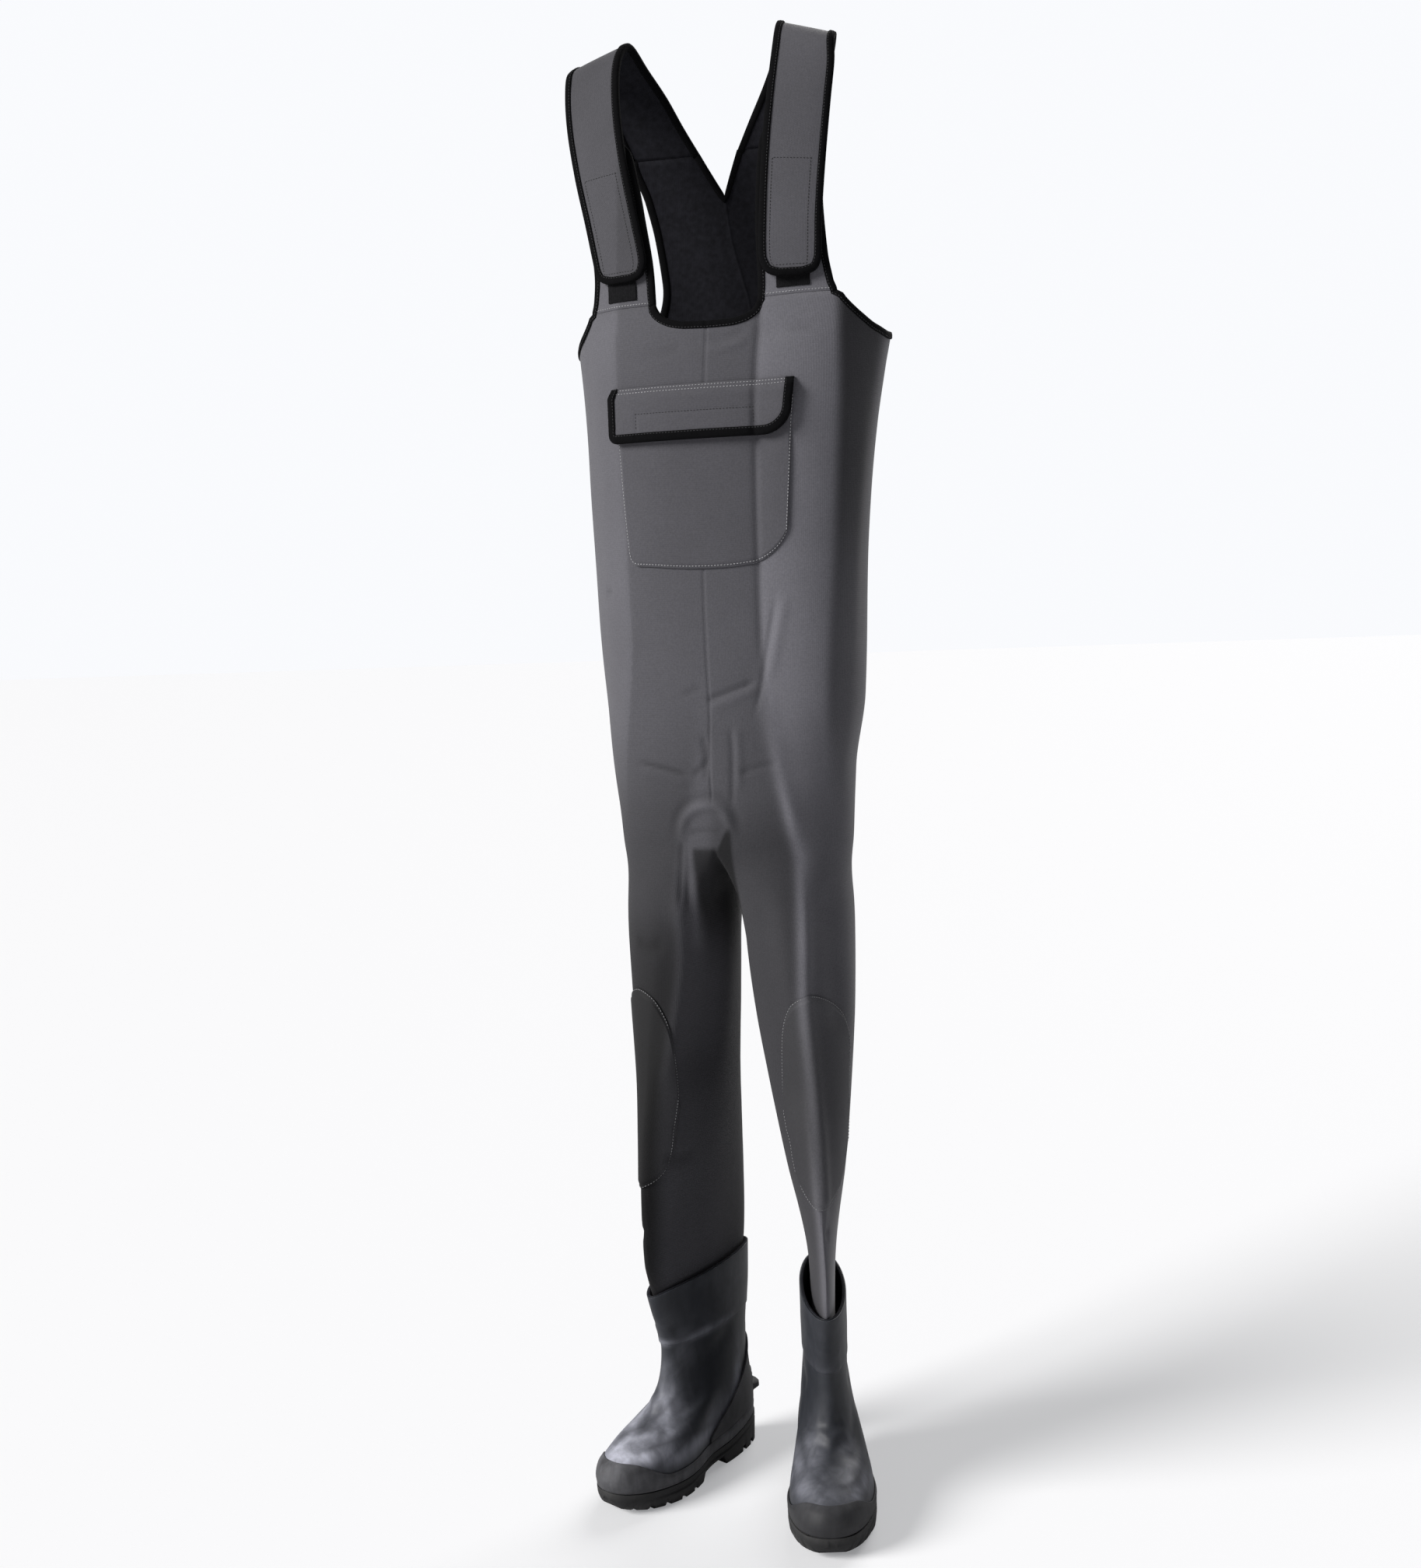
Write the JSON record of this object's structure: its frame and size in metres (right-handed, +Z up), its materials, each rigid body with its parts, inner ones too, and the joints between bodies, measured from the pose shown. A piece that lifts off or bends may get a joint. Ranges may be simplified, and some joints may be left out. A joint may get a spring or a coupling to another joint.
{
  "type": "chest waders",
  "caption": "Neoprene chest waders with bib, hook-and-loop shoulder straps, chest pocket and moulded rubber boots, standing empty on flat soles.",
  "frame": {"origin": "middle of the outline on the floor, under the soles", "axes": "+Z up, -Y to the front of the wearer, +X to the wearer's left"},
  "size_m": [0.3491, 0.3093, 1.5938],
  "materials": {
    "neoprene": "matte knit-faced neoprene",
    "binding": "matte black tape",
    "rubber": "satin, dusty bloom",
    "matte_rubber": "matte",
    "sole": "matte",
    "lining": "matte"
  },
  "bodies": {
    "root": {"armhole_tape_left": "binding", "armhole_tape_right": "binding", "back_vee_tape": "binding", "boot_upper_left": "rubber", "boot_upper_right": "rubber", "cuff_band_left": "rubber", "cuff_band_right": "rubber", "flap_tape": "binding", "front_tab_left": "neoprene", "front_tab_right": "neoprene", "heel_counter_left": "matte_rubber", "heel_counter_right": "matte_rubber", "insole_left": "lining", "insole_right": "lining", "knee_patch_left": "neoprene", "knee_patch_right": "neoprene", "loop_pad_left": "binding", "loop_pad_right": "binding", "neck_tape": "binding", "outsole_left": "sole", "outsole_right": "sole", "pocket_flap": "neoprene", "pocket_panel": "neoprene", "strap_left": "neoprene", "strap_right": "neoprene", "strap_tape_left": "binding", "strap_tape_right": "binding", "suit": "neoprene", "tab_tape_left": "binding", "tab_tape_right": "binding", "toe_rand_left": "matte_rubber", "toe_rand_right": "matte_rubber"}
  },
  "joints": []
}
